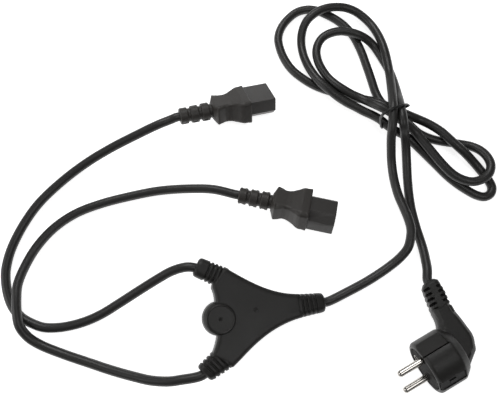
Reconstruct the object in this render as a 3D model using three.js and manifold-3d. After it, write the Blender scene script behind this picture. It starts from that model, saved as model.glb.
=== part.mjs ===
// Power cord splitter: one right-angled earthed mains plug, a looped and tied supply cord, a moulded
// Y junction and two branch cords that end in three-slot appliance connectors.
// Millimetres, +Z up, lying on z = 0. X runs to the right and Y away from the viewer.
import * as THREE from "three";
import { mergeVertices } from "three/addons/utils/BufferGeometryUtils.js";
import Module from "manifold-3d";

const wasm = await Module();
wasm.setup();

// Driving dimensions
const CLEARANCE = 0.3; // between pieces that seat in one another
const CORD = { diameter: 6.9, sides: 8, seat: 8 }; // seat: how far the sheath runs into a moulding
const CORD_BORE = CORD.diameter / 2 + CLEARANCE;

const PLUG = {
  faceRadius: 19,
  rimChamfer: 1.8,
  drumDepth: 21, // straight part of the round body, behind the face
  coneDepth: 6,
  coneRadius: 14.5,
  armBack: 40.4, // back of the arm, behind the face
  armHalfThickness: 8.5,
  armRounding: 2,
  cordOffset: 37.6, // cord axis behind the face, at the end of the sleeve
  sleeveEnd: 48.5, // end of the sleeve, from the axis of the pins' centre
  sleeveStart: 29,
  sleeveRoot: 33.4, // middle of the sleeve behind the face, where it leaves the arm
  sleeveRibs: 5,
  ribPitch: 3.3,
  ribSlot: 1.5,
  ribSlotDepth: 3.4,
};
const PIN = { radius: 2.4, length: 19, spacing: 19, root: 9, lineAngle: 56 };
const GUIDE = { width: 9, depth: 1.3, length: 20 }; // grooves in line with the pins
const EARTH_STRIP = { width: 7, thickness: 0.8, length: 20, recess: 2 };
const EARTH_SOCKET = { radius: 2.4, wall: 0.5, depth: 15, offset: 10 };
const FACE_INSERT = { radius: 15.2, depth: 6, recess: 0.6 };

const NOSE = { width: 24, height: 16, chamfer: 5.5, length: 19.5, root: 6.5 };
const CONTACT_SLOT = { width: 2.4, height: 4.8, depth: 16.5, pitch: 7, earthRise: 4 };
const CONTACT = { wall: 0.5, length: 11, setback: 3 };
const GRIP = {
  flangeWidth: 28,
  flangeHeight: 19,
  flangeLength: 7,
  waistWidth: 17.2,
  waistHeight: 15.4,
  waistAt: 18,
  shoulderWidth: 22.6,
  shoulderAt: 25.4,
  length: 28.5,
};
const RELIEF = { length: 25, rings: 3, ringRadius: 6.9, tipRadius: 6.3, neckRadius: 5.1, groove: 2.2 };

const JUNCTION = {
  thickness: 15,
  edge: 2, // rounding of the plate's edges
  mainReach: 76, // boss centre to the end of the supply leg
  branchEnd: { x: -14.6, y: 36.3 },
  branchAngle: 144, // direction of the upper branch leg, from +X
  legHalfWidth: 8.3,
  branchHalfWidth: 9.2, // the branch legs widen more towards the plate
  legHalfHeight: 7.3,
  capHalfWidth: 6.4,
  capHalfHeight: 5.9,
  capLength: 4.5,
  grooves: 4,
  groovePitch: 3.3,
  grooveWidth: 1.5,
  grooveDepth: 1.2,
  legLength: 24,
};
const BOSS = { radius: 11.2, topRadius: 10.4, rise: 1.2, dimple: 1.1, dimpleDepth: 1.5, ring: 7 };
const SPLICE = { radius: 2.1, length: 15, pitch: 5.6, at: 24, chamber: 3 };
const WIRE_WAY = 2.6; // radius of the way that the cores take to the splices

// The strip that ties the looped supply cord: its loop stands upright across the crossing strands.
const TIE = {
  at: [112.1, 64.7],
  turn: 42, // direction of the loop's plane, from +X
  width: 2,
  thickness: 1,
  // The strands' outline in that plane, as distance along it and height.
  loop: [
    [-12.8, 10.7], [-12.4, 9], [-10.3, 7.4], [3.9, 2.2], [5.2, 2], [7, 2.5], [8.4, 4], [9.9, 12], [9.9, 20.5],
    [8.9, 22.1], [7.5, 24.1], [4, 26.9], [-2.3, 29.5], [-5.2, 30.1], [-8, 29.8], [-10.5, 28.6], [-12, 26],
  ],
};

const CORD_STEPS = { main_cord: 150, branch_cord_a: 34, branch_cord_b: 34 };
const SEGMENTS = 32;

// Where each moulding lies: turned about Z, then Y, then X, in degrees, and its place on the floor.
const PLACES = {
  plug: { turn: [209.4, 1.5, 8], at: [119.2, -125.1] },
  junction: { turn: [8.9, 9, 4], at: [-20.9, -90.1] },
  connector_a: { turn: [15.2, 8, 148], at: [-2.3, 73.6] },
  connector_b: { turn: [-12.5, -1, -24.8], at: [44.1, -11.3] },
};

// The cords' centre lines as they lie, from moulding to moulding, as x, y and z. The supply cord
// doubles back on itself and is tied where its strands cross, so it rests in up to four layers there.
const ROUTES = {
  main_cord: [
    [45.5, -79.7, 7.1], [52.3, -78.6, 6], [56.2, -78, 5.4], [71.8, -70.6, 5.6], [88.2, -61.8, 5.2],
    [103.6, -51.7, 6.3], [111.6, -45, 8.6], [116.3, -38.9, 10.4], [118.7, -30.5, 11.2],
    [119.2, -25.3, 11.3], [118, -18, 10.9], [115.6, -9.3, 9.6], [112.3, 2.1, 7.6], [109.9, 15.8, 6.8],
    [108.4, 27.6, 9.6], [107.5, 36.3, 14.5], [106.9, 43.3, 19.5], [106.9, 49.5, 24.4],
    [107.6, 57.5, 26.3], [108.2, 65.7, 26.3], [108.9, 74.4, 23.4], [109.8, 85, 18.6],
    [110.7, 100.2, 12.2], [109.9, 111.4, 10.9], [108.3, 121.6, 10.8], [106, 131.3, 9.8],
    [103.1, 140, 8.2], [99.1, 147.9, 6.9], [93.8, 154, 7], [87.2, 159.1, 7.6], [79.2, 161.8, 8.8],
    [70.8, 161.8, 10.2], [61.9, 159.9, 11.1], [54.5, 156.3, 11.2], [48.1, 151, 10.4],
    [44.4, 145.7, 8.6], [42.3, 138.8, 6.4], [41.9, 131.4, 5], [43, 122.8, 5], [45.5, 113.3, 6.6],
    [49.3, 104, 8.9], [54.7, 95, 10.8], [62.1, 87.4, 11.2], [69.4, 81.6, 10], [76.4, 76.8, 9.6],
    [82.5, 73.5, 9.4], [89.3, 69.6, 9.2], [96.8, 65.6, 9.6], [101.7, 61.9, 10.4], [105.7, 57.9, 10.8],
    [110.2, 54.3, 10.4], [116.5, 52.1, 8], [122.8, 49.6, 5.4], [130.1, 43, 3.9], [137.6, 34.8, 3.7],
    [145, 26.4, 3.7], [151.7, 18.8, 3.7], [158.6, 12.4, 3.7], [166.1, 6.9, 3.7], [173.2, 2.8, 3.7],
    [179.1, 1.5, 3.7], [183.7, 3.8, 3.7], [185.5, 8.5, 3.7], [183.6, 14.5, 3.7], [179.3, 21.1, 3.8],
    [173.3, 28.2, 5.4], [165.6, 35, 9], [160, 39.6, 10.8], [154.9, 44.7, 11.1], [148.2, 52.1, 10.4],
    [140.4, 58.5, 9], [132.4, 62.9, 8.6], [123.5, 65.5, 11.4], [117.3, 67.9, 12.2],
    [111.5, 70.4, 12.5], [106.5, 72.6, 12.6], [101.4, 75.2, 11.8], [96.3, 78.6, 8.6],
    [91.6, 81.4, 5.2], [86.3, 83.1, 3.9], [80, 84.9, 3.7], [73.7, 86.6, 3.7], [64.2, 89.4, 3.7],
    [57.6, 91.8, 3.7], [50.1, 95.4, 3.7], [41.5, 101.4, 3.7], [34, 108.4, 3.7], [28.2, 117.4, 3.8],
    [24.5, 127.3, 4], [23.2, 136.5, 4.2], [25.8, 146, 4.2], [32, 154.9, 4], [39.6, 161.2, 3.8],
    [48, 163.5, 3.7], [55.9, 162.4, 3.7], [64.1, 158.6, 3.7], [72.1, 153.4, 3.8], [79.4, 146.6, 3.8],
    [85.2, 138.5, 3.7], [89.2, 129.4, 3.7], [92, 121.2, 3.7], [94.2, 113.1, 3.7], [96.3, 105.4, 3.7],
    [98.4, 97, 3.7], [100.5, 88.7, 3.7], [103.6, 80.9, 4.5], [107.5, 75.3, 5.4], [112.3, 70.7, 5.5],
    [117.6, 66.7, 5.4], [122.7, 63.2, 4.6], [127.4, 58.8, 3.7], [132.2, 53.8, 3.7], [137.4, 50.6, 3.7],
    [143.5, 48.2, 3.7], [151.2, 46.4, 3.7], [158.9, 45.2, 3.7], [166.3, 43.9, 3.9], [172.1, 41.9, 5.3],
    [177.9, 37.8, 7.6], [182.2, 31.7, 9.4], [183.7, 24.7, 10.7], [181.6, 18.2, 11.2],
    [176.2, 13.4, 11.2], [168.9, 11.4, 11], [161.8, 12.8, 10.8], [154.9, 16.7, 10.8],
    [149, 22.7, 10.8], [143.6, 29.7, 10.8], [138.4, 37, 10.8], [133.2, 44.1, 11], [128.1, 50.8, 11.6],
    [122.2, 55.6, 14.4], [116.1, 58.7, 17.4], [110.6, 62.3, 19], [105.6, 65.6, 19.6],
    [100.7, 68.7, 19.1], [96.3, 72.1, 17], [91.8, 76.5, 13], [86.5, 80.1, 11.1], [80, 83.4, 10.9],
    [74.2, 86.9, 11.4], [68.4, 91.4, 11], [62.4, 98, 9.6], [57.6, 105.6, 9.4], [54.5, 113.3, 9.4],
    [53.5, 120.7, 9.6], [54.9, 127.5, 9.9], [58.8, 133.4, 10.4], [65.2, 137.2, 10.9],
    [73.3, 138.9, 11.1], [81.1, 138, 11.1], [88, 136, 10.6], [94.9, 133.6, 7.8], [100.6, 129.7, 5],
    [104.6, 124.2, 3.8], [108, 117.6, 3.7], [111.2, 111.1, 3.7], [113.5, 105, 3.8], [115.1, 98.1, 5],
    [115.8, 90, 8.2], [115.9, 81.5, 12.8], [115.2, 71.9, 19.8], [114.9, 63.7, 24.4],
    [115.1, 56.9, 25.8], [115.8, 51.9, 24.4], [117.9, 47.3, 17.6], [119.5, 40.8, 12.2],
    [120.6, 29.9, 7.4], [121, 17, 4.8], [121.5, 3, 3.8], [122.4, -7.5, 3.7], [123.9, -16.3, 3.7],
    [125.8, -25.2, 3.7], [127.6, -32.9, 4.2], [128.7, -40.5, 6], [128.9, -48, 8.9],
    [128.7, -55.5, 11.8], [128, -63.9, 13], [129.5, -66.4, 13.5], [132.4, -71.6, 14.3],
  ],
  branch_cord_a: [
    [-45.8, 61.8, 20.8], [-52.5, 60, 21.7], [-56.3, 58.9, 22.3], [-59.4, 57.8, 21.5],
    [-69.4, 53.7, 21], [-88.2, 45.8, 17], [-107.3, 37.5, 12], [-126.8, 27, 7], [-144.9, 13.1, 4.4],
    [-161.2, -4.3, 3.8], [-171.6, -22, 3.7], [-178.2, -39.2, 3.7], [-180.3, -51.3, 3.7],
    [-180.3, -58.5, 3.7], [-177.9, -70.2, 3.7], [-173.3, -80.6, 3.7], [-166.2, -88.6, 3.7],
    [-157.2, -93.5, 3.7], [-149.3, -96.1, 3.7], [-141.2, -96.5, 3.8], [-130.9, -95.3, 4.2],
    [-118.4, -92, 5.5], [-106.6, -87, 7.5], [-93, -79.1, 10.5], [-78.9, -70.2, 14],
    [-64.5, -61.4, 17.8], [-57.2, -57.3, 20.1], [-50, -54.9, 21.9], [-43, -55.1, 23],
    [-38.6, -57.4, 22.2], [-33.4, -60.1, 21.2],
  ],
  branch_cord_b: [
    [-0.3, -1.5, 13], [-7.1, 0.1, 12.9], [-11.1, 0.9, 12.8], [-26.9, 4.8, 12.5], [-44.4, 6.3, 9.5],
    [-69.3, 5.8, 5.5], [-90.4, 2.1, 3.9], [-113.4, -4, 3.7], [-132.4, -11.8, 3.7],
    [-147.8, -23.2, 3.8], [-158.9, -37.3, 4.5], [-165.3, -51.9, 6.6], [-168.4, -66.1, 9.6],
    [-167.7, -76.7, 11.3], [-166.5, -85.2, 11.6], [-164.1, -95.3, 10.4], [-158.6, -102.9, 6.8],
    [-150.4, -108.2, 4.6], [-133, -114.9, 3.8], [-114.4, -120.8, 4.5], [-97.7, -125.9, 6.5],
    [-79.8, -130.4, 10], [-68, -132.7, 13], [-55.5, -133.8, 16], [-47.8, -133.2, 17.3],
    [-32.1, -130.3, 17.8], [-28.5, -126.8, 17.4], [-24.3, -122.5, 16.8],
  ],
};

// Colours
const black = { color: 0x2b2a29, roughness: 0.55, metalness: 0 };
const charcoal = { color: 0x3a3836, roughness: 0.6, metalness: 0 };
const sheath = { color: 0x2a2929, roughness: 0.5, metalness: 0 };
const nickel = { color: 0xc9c7c0, roughness: 0.22, metalness: 1 };
const brass = { color: 0xb89a5a, roughness: 0.35, metalness: 1 };
const tieBlack = { color: 0x1d1c1c, roughness: 0.4, metalness: 0 };

// Solids
const deg = THREE.MathUtils.degToRad;

function solid(geometry) {
  const plain = geometry.clone();
  for (const name of Object.keys(plain.attributes)) {
    if (name !== "position") plain.deleteAttribute(name);
  }
  const merged = mergeVertices(plain, 1e-4);
  const positions = merged.attributes.position.array;
  const corners = new Uint32Array(merged.index.array);
  const make = () =>
    new wasm.Manifold(
      new wasm.Mesh({ numProp: 3, vertProperties: positions, triVerts: corners }),
    );
  const made = make();
  if (made.volume() > 0) return made;
  for (let i = 0; i < corners.length; i += 3) {
    [corners[i + 1], corners[i + 2]] = [corners[i + 2], corners[i + 1]];
  }
  return make();
}

function meshOf(name, manifold, look) {
  const made = manifold.getMesh();
  const geometry = new THREE.BufferGeometry();
  geometry.setAttribute("position", new THREE.BufferAttribute(made.vertProperties, 3));
  geometry.setIndex(new THREE.BufferAttribute(made.triVerts, 1));
  const flat = geometry.toNonIndexed();
  flat.computeVertexNormals();
  const mesh = new THREE.Mesh(flat, new THREE.MeshStandardMaterial(look));
  mesh.name = name;
  return mesh;
}

const union = (parts) => parts.reduce((whole, part) => whole.add(part));
const cut = (whole, tools) => tools.reduce((left, tool) => left.subtract(tool), whole);

// A box between two corners.
function box(low, high) {
  const size = high.map((value, i) => value - low[i]);
  const centre = high.map((value, i) => (value + low[i]) / 2);
  return solid(new THREE.BoxGeometry(...size).translate(...centre));
}

// A turned solid about the X axis, from pairs of radius and place along X.
function turned(profile, segments = SEGMENTS) {
  const points = profile.map(([radius, x]) => new THREE.Vector2(radius, x));
  return solid(new THREE.LatheGeometry(points, segments).rotateZ(-Math.PI / 2));
}

const rod = (radius, from, to, segments = SEGMENTS) =>
  turned([[0, from], [radius, from], [radius, to], [0, to]], segments);

// An outline in the XY plane, given height along Z from low to high, with edges rounded by rounding.
function plate(shape, low, high, rounding = 0, curveSegments = 8) {
  const geometry = new THREE.ExtrudeGeometry(shape, {
    depth: high - low - 2 * rounding,
    bevelEnabled: rounding > 0,
    bevelThickness: rounding,
    bevelSize: rounding,
    bevelOffset: -rounding,
    bevelSegments: 2,
    curveSegments,
  });
  return solid(geometry.translate(0, 0, low + rounding));
}

// The corner arcs of a rounded rectangle, as points [y, z] counted round.
function roundedRing({ w, h, r, y = 0, z = 0 }, steps = 4) {
  const radius = Math.min(r, w * 0.98, h * 0.98);
  const ring = [];
  [[1, 1], [-1, 1], [-1, -1], [1, -1]].forEach(([sy, sz], corner) => {
    for (let i = 0; i <= steps; i++) {
      const angle = (corner + i / steps) * (Math.PI / 2);
      ring.push([
        y + sy * (w - radius) + radius * Math.cos(angle),
        z + sz * (h - radius) + radius * Math.sin(angle),
      ]);
    }
  });
  return ring;
}

// A solid through rounded rectangles set along X; each has x, half width w, half height h and corner r.
function loft(sections, steps = 4) {
  const rings = sections.map((s) => roundedRing(s, steps).map(([y, z]) => [s.x, y, z]));
  const count = rings[0].length;
  const positions = rings.flat(2);
  const index = [];
  for (let k = 0; k + 1 < rings.length; k++) {
    for (let i = 0; i < count; i++) {
      const a = k * count + i;
      const b = k * count + ((i + 1) % count);
      index.push(a, b, b + count, a, b + count, a + count);
    }
  }
  const last = (rings.length - 1) * count;
  for (let i = 1; i + 1 < count; i++) {
    index.push(0, i + 1, i, last, last + i, last + i + 1);
  }
  const geometry = new THREE.BufferGeometry();
  geometry.setAttribute("position", new THREE.Float32BufferAttribute(positions, 3));
  geometry.setIndex(index);
  return solid(geometry);
}

// Mains plug: the pins stand along +X from the face at x = 0, and the cord leaves towards -Y.
const pinLine = deg(PIN.lineAngle);
const alongPins = { y: -Math.cos(pinLine), z: Math.sin(pinLine) };
const acrossPins = { y: -Math.sin(pinLine), z: -Math.cos(pinLine) };
const pinPlaces = [PIN.spacing / 2, -PIN.spacing / 2].map((d) => [d * alongPins.y, d * alongPins.z]);
const socketPlace = [EARTH_SOCKET.offset * acrossPins.y, EARTH_SOCKET.offset * acrossPins.z];
const socketBore = EARTH_SOCKET.radius + EARTH_SOCKET.wall + CLEARANCE;

// A box on the drum's rim at an angle about X, from a radius outwards.
function rimBox(angle, width, floor, from, to) {
  const reach = PLUG.faceRadius + 2;
  return box([from, floor, -width / 2], [to, reach, width / 2]).rotate([THREE.MathUtils.radToDeg(angle), 0, 0]);
}

const guideAngles = [Math.PI - pinLine, -pinLine];
const stripAngles = [Math.PI / 2 - pinLine, -Math.PI / 2 - pinLine];

// The arm's side outline: from the drum's underside, along the inner edge to the sleeve, and down the back.
function armOutline() {
  const back = PLUG.armBack;
  const corners = [
    [-15, -16.5],
    [-25.5, -18.2],
    [-28.6, -28.2],
    [-28.8, -31],
    [1.6 - back, -31],
    [1.3 - back, -24],
    [0.4 - back, -20.3],
    [-back, -4.2],
    [0.9 - back, -0.8],
    [4 - back, 5.8],
    [8 - back, 8.9],
    [-24.5, 14.7],
    [-15, 16.5],
  ];
  return new THREE.Shape(corners.map(([x, y]) => new THREE.Vector2(x, y)));
}

function sleeve() {
  const tip = PLUG.cordOffset;
  const root = PLUG.sleeveRoot;
  const sections = [
    { x: -PLUG.sleeveEnd, y: tip, w: 4.6, h: 4.6, r: 4.2 },
    { x: -PLUG.sleeveEnd + 1.6, y: tip, w: 5.9, h: 5.7, r: 4.2 },
    { x: -PLUG.sleeveStart, y: root, w: 7.2, h: 6.6, r: 3.4 },
    { x: -PLUG.sleeveStart + 6, y: root - 0.3, w: 4.6, h: 6.6, r: 3.4 },
  ];
  const body = loft(sections);
  const slots = [];
  for (let i = 0; i < PLUG.sleeveRibs; i++) {
    const x = -PLUG.sleeveEnd + 3.2 + i * PLUG.ribPitch;
    const share = i / (PLUG.sleeveRibs - 1);
    const centre = THREE.MathUtils.lerp(tip, root + 0.4, share);
    const half = THREE.MathUtils.lerp(5.9, 7, share);
    for (const side of [-1, 1]) {
      const edges = [centre + side * (half - PLUG.ribSlotDepth), centre + side * (half + 3)];
      slots.push(box([x, Math.min(...edges), -12], [x + PLUG.ribSlot, Math.max(...edges), 12]));
    }
  }
  const bore = rod(CORD_BORE, -PLUG.sleeveEnd - 1, -PLUG.sleeveEnd + CORD.seat + CLEARANCE, 20);
  return { body, slots, bore: bore.translate([0, tip, 0]) };
}

function plugGroup() {
  const { faceRadius: r, rimChamfer: c, drumDepth, coneDepth, coneRadius } = PLUG;
  const drum = turned([
    [0, -drumDepth - coneDepth],
    [coneRadius, -drumDepth - coneDepth],
    [r, -drumDepth],
    [r, -c],
    [r - c, 0],
    [0, 0],
  ], 48);
  const arm = plate(armOutline(), -PLUG.armHalfThickness, PLUG.armHalfThickness, PLUG.armRounding);
  const made = sleeve();
  // The sleeve is modelled along X and turned so that it runs along -Y behind the face.
  const stand = (part) => part.rotate([0, 0, 90]);
  const pocket = rod(FACE_INSERT.radius + CLEARANCE, -FACE_INSERT.depth - FACE_INSERT.recess - CLEARANCE, 1);
  const tools = [
    pocket,
    stand(made.bore),
    ...made.slots.map(stand),
    ...pinPlaces.map(([y, z]) => rod(PIN.radius + CLEARANCE, -PIN.root - 2 * CLEARANCE, 1, 24).translate([0, y, z])),
    rod(socketBore, -EARTH_SOCKET.depth - 2 * CLEARANCE, 1, 24).translate([0, ...socketPlace]),
    ...guideAngles.map((angle) => rimBox(angle, GUIDE.width, r - GUIDE.depth, -GUIDE.length, 1)),
    ...stripAngles.map((angle) =>
      rimBox(angle, EARTH_STRIP.width + 2 * CLEARANCE, r - EARTH_STRIP.recess, -EARTH_STRIP.length - CLEARANCE, 1),
    ),
  ];
  const body = cut(union([drum, arm, stand(made.body)]), tools);

  const insertFront = -FACE_INSERT.recess;
  const insertHoles = [
    ...pinPlaces.map(([y, z]) => rod(PIN.radius + CLEARANCE, -20, 5, 24).translate([0, y, z])),
    rod(socketBore, -20, 5, 24).translate([0, ...socketPlace]),
  ];
  const insert = cut(
    turned([
      [0, insertFront - FACE_INSERT.depth],
      [FACE_INSERT.radius, insertFront - FACE_INSERT.depth],
      [FACE_INSERT.radius, insertFront - 0.5],
      [FACE_INSERT.radius - 0.5, insertFront],
      [0, insertFront],
    ]),
    insertHoles,
  );

  const pin = () => {
    const tip = [];
    for (let i = 0; i <= 4; i++) {
      const angle = (i / 4) * (Math.PI / 2);
      tip.push([PIN.radius * Math.cos(angle), PIN.length - PIN.radius + PIN.radius * Math.sin(angle)]);
    }
    tip[4][0] = 0;
    return turned([[0, -PIN.root], [PIN.radius, -PIN.root], ...tip], 24);
  };
  const strip = (angle) => {
    const floor = r - EARTH_STRIP.recess + CLEARANCE;
    const plain = box(
      [-EARTH_STRIP.length, floor, -EARTH_STRIP.width / 2],
      [-1, floor + EARTH_STRIP.thickness, EARTH_STRIP.width / 2],
    );
    const dimple = box([-13, floor + 0.2, -1.5], [-8, floor + EARTH_STRIP.thickness + 0.5, 1.5]);
    return plain.add(dimple).rotate([THREE.MathUtils.radToDeg(angle), 0, 0]);
  };
  const socket = cut(rod(EARTH_SOCKET.radius + EARTH_SOCKET.wall, -EARTH_SOCKET.depth, insertFront, 24), [
    rod(EARTH_SOCKET.radius, -EARTH_SOCKET.depth + 1, 5, 24),
  ]).translate([0, ...socketPlace]);

  const group = new THREE.Group();
  group.add(
    meshOf("plug_body", body, black),
    meshOf("plug_face_insert", insert, charcoal),
    meshOf("plug_pin_line", pin().translate([0, ...pinPlaces[0]]), nickel),
    meshOf("plug_pin_neutral", pin().translate([0, ...pinPlaces[1]]), nickel),
    meshOf("plug_earth_strip_upper", strip(stripAngles[0]), nickel),
    meshOf("plug_earth_strip_lower", strip(stripAngles[1]), nickel),
    meshOf("plug_earth_socket", socket, nickel),
  );
  return group;
}

// Appliance connector: the nose stands along +X from the flange at x = 0, chamfers on its +Z side.
function noseOutline(grow) {
  const w = NOSE.width / 2 + grow;
  const h = NOSE.height / 2 + grow;
  const c = NOSE.chamfer + grow * (2 - Math.SQRT2);
  const corners = [[-w, -h], [w, -h], [w, h - c], [w - c, h], [-w + c, h], [-w, h - c]];
  return new THREE.Shape(corners.map(([y, z]) => new THREE.Vector2(y, z)));
}

// An outline given in Y and Z, run along X from one place to another.
function run(shape, from, to) {
  const geometry = new THREE.ExtrudeGeometry(shape, { depth: to - from, bevelEnabled: false });
  return solid(geometry.rotateX(Math.PI / 2).rotateZ(Math.PI / 2).translate(from, 0, 0));
}

const slotPlaces = {
  line: [CONTACT_SLOT.pitch, 0],
  neutral: [-CONTACT_SLOT.pitch, 0],
  earth: [0, CONTACT_SLOT.earthRise],
};

function gripSections() {
  const { flangeWidth: fw, flangeHeight: fh, waistWidth: ww, waistHeight: wh } = GRIP;
  const s = GRIP.shoulderWidth;
  const neck = RELIEF.ringRadius - 0.4;
  return [
    { x: -GRIP.length, w: neck, h: neck - 0.3, r: 5.6 },
    { x: -GRIP.length + 0.9, w: neck + 0.9, h: neck + 0.5, r: 4.2 },
    { x: -GRIP.shoulderAt - 0.5, w: s / 2 - 0.5, h: wh / 2, r: 2.4 },
    { x: -GRIP.shoulderAt + 0.4, w: s / 2 - 0.1, h: wh / 2, r: 2 },
    { x: -GRIP.waistAt - 4, w: (ww + s) / 4 + 0.2, h: wh / 2, r: 2 },
    { x: -GRIP.waistAt - 1.5, w: ww / 2 + 0.2, h: wh / 2, r: 2 },
    { x: -GRIP.waistAt + 1, w: ww / 2, h: wh / 2, r: 2 },
    { x: -GRIP.waistAt + 4, w: ww / 2 + 0.8, h: wh / 2 + 0.2, r: 2 },
    { x: -GRIP.flangeLength - 3.5, w: ww / 2 + 2.8, h: wh / 2 + 0.8, r: 2 },
    { x: -GRIP.flangeLength - 1.2, w: fw / 2 - 0.9, h: fh / 2 - 0.5, r: 2.2 },
    { x: -GRIP.flangeLength + 1, w: fw / 2, h: fh / 2, r: 2.4 },
    { x: 0, w: fw / 2, h: fh / 2, r: 2.4 },
  ];
}

// The strain relief: thick rings with round grooves between them, and a notch in each ring.
function relief() {
  const end = -GRIP.length - RELIEF.length;
  const pitch = RELIEF.length / RELIEF.rings;
  const profile = [[0, end]];
  for (let i = 0; i < RELIEF.rings; i++) {
    const from = end + i * pitch;
    const radius = THREE.MathUtils.lerp(RELIEF.tipRadius, RELIEF.ringRadius, i / (RELIEF.rings - 1));
    const to = from + pitch - RELIEF.groove;
    profile.push([radius - 0.7, from], [radius, from + 0.7], [radius, to - 0.4], [radius - 0.4, to]);
    profile.push([RELIEF.neckRadius + 0.1 * i, to + 0.1], [RELIEF.neckRadius + 0.1 * i, from + pitch - 0.1]);
  }
  profile.push([RELIEF.ringRadius - 0.5, -GRIP.length], [RELIEF.ringRadius - 0.5, -GRIP.length + 2]);
  profile.push([0, -GRIP.length + 2]);
  const notches = [];
  for (let i = 0; i < RELIEF.rings; i++) {
    const x = end + i * pitch + 1.6;
    for (const side of [-1, 1]) {
      const edges = [side * (RELIEF.neckRadius + 0.3), side * 9];
      notches.push(box([x, Math.min(...edges), -2.4], [x + 2.2, Math.max(...edges), 2.4]));
    }
  }
  const bore = rod(CORD_BORE, end - 1, end + CORD.seat + CLEARANCE, 20);
  return cut(turned(profile, 24), notches.map((n) => n.rotate([35, 0, 0])).concat(bore));
}

function connectorGroup(prefix) {
  const pocket = run(noseOutline(CLEARANCE), -NOSE.root - CLEARANCE, 1);
  const body = cut(union([loft(gripSections(), 3), relief()]), [pocket]);

  const slots = Object.values(slotPlaces).map(([y, z]) => {
    const w = CONTACT_SLOT.width / 2;
    const h = CONTACT_SLOT.height / 2;
    const mouth = box([NOSE.length - CONTACT_SLOT.depth, y - w, z - h], [NOSE.length + 1, y + w, z + h]);
    const grow = CONTACT.wall + CLEARANCE;
    const from = NOSE.length - CONTACT.setback - CONTACT.length - CLEARANCE;
    const cell = box(
      [from, y - w - grow, z - h - grow],
      [NOSE.length - CONTACT.setback + CLEARANCE, y + w + grow, z + h + grow],
    );
    return mouth.add(cell);
  });
  const insert = cut(run(noseOutline(0), -NOSE.root, NOSE.length), slots);

  // A folded box contact, open to the front for the blade.
  const contact = ([y, z]) => {
    const w = CONTACT_SLOT.width / 2;
    const h = CONTACT_SLOT.height / 2;
    const to = NOSE.length - CONTACT.setback;
    const outer = box(
      [to - CONTACT.length, y - w - CONTACT.wall, z - h - CONTACT.wall],
      [to, y + w + CONTACT.wall, z + h + CONTACT.wall],
    );
    return cut(outer, [
      box([to - CONTACT.length + CONTACT.wall, y - w, z - h], [to + 1, y + w, z + h]),
      box([to - CONTACT.length + 3, y - w - 2, z - 0.3], [to + 1, y, z + 0.3]),
    ]);
  };

  const group = new THREE.Group();
  group.add(meshOf(prefix + "_body", body, charcoal), meshOf(prefix + "_insert", insert, charcoal));
  for (const [name, place] of Object.entries(slotPlaces)) {
    group.add(meshOf(prefix + "_contact_" + name, contact(place), brass));
  }
  return group;
}

// Y junction: the boss stands at the origin, the supply leg runs along +X.
function junctionOutline() {
  const { branchEnd: e, legHalfWidth: w, branchHalfWidth: v, mainReach } = JUNCTION;
  const legRoot = mainReach - JUNCTION.capLength - JUNCTION.grooves * JUNCTION.groovePitch;
  const angle = deg(JUNCTION.branchAngle);
  const back = JUNCTION.legLength - 7;
  // The outer side of the upper branch leg, where the plate meets its ribs.
  const root = { x: e.x - back * Math.cos(angle), y: e.y - back * Math.sin(angle) };
  const outer = { x: root.x + v * Math.sin(angle), y: root.y - v * Math.cos(angle) };
  const shape = new THREE.Shape();
  shape.moveTo(legRoot, w);
  shape.bezierCurveTo(legRoot - 18, w + 2, legRoot - 32, w + 9, outer.x + 6, outer.y - 4);
  shape.lineTo(outer.x - 1, outer.y + 1);
  shape.lineTo(-10.4, 25.6);
  shape.quadraticCurveTo(-6, 18, -3.4, 9);
  shape.lineTo(-3.4, -9);
  shape.quadraticCurveTo(-6, -18, -10.4, -25.6);
  shape.lineTo(outer.x - 1, -outer.y - 1);
  shape.lineTo(outer.x + 6, -outer.y + 4);
  shape.bezierCurveTo(legRoot - 32, -w - 9, legRoot - 18, -w - 2, legRoot, -w);
  return shape;
}

// One ribbed leg that ends at x = 0 and runs back towards -X, with a bore for the cord's sheath.
function legParts(w) {
  const { legHalfHeight: h, capHalfWidth, capHalfHeight, grooveDepth: d } = JUNCTION;
  const sections = [{ x: -JUNCTION.legLength, w, h, r: 5 }];
  const first = -JUNCTION.capLength - JUNCTION.grooves * JUNCTION.groovePitch;
  for (let i = 0; i < JUNCTION.grooves; i++) {
    const x = first + i * JUNCTION.groovePitch;
    const share = i / JUNCTION.grooves;
    const rib = { w: w - share * (w - capHalfWidth - 0.7), h: h - share * 0.9, r: 5 };
    const bottom = { w: rib.w - d, h: rib.h - d, r: 5 - d };
    sections.push({ x, ...rib }, { x: x + 0.2, ...bottom });
    sections.push({ x: x + JUNCTION.grooveWidth - 0.2, ...bottom }, { x: x + JUNCTION.grooveWidth, ...rib });
  }
  sections.push({ x: -JUNCTION.capLength + 1.4, w: capHalfWidth + 0.6, h: capHalfHeight + 0.4, r: 5 });
  sections.push({ x: -1.6, w: capHalfWidth, h: capHalfHeight, r: 5 });
  sections.push({ x: 0, w: capHalfWidth - 1.6, h: capHalfHeight - 1.3, r: 4.2 });
  const bore = rod(CORD_BORE, -CORD.seat - CLEARANCE, 1, 20);
  return { body: loft(sections, 3), bore };
}

const LEGS = {
  main: { x: JUNCTION.mainReach, y: 0, angle: 0, w: JUNCTION.legHalfWidth },
  upper: { ...JUNCTION.branchEnd, angle: JUNCTION.branchAngle, w: JUNCTION.branchHalfWidth },
  lower: {
    x: JUNCTION.branchEnd.x,
    y: -JUNCTION.branchEnd.y,
    angle: -JUNCTION.branchAngle,
    w: JUNCTION.branchHalfWidth,
  },
};

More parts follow.
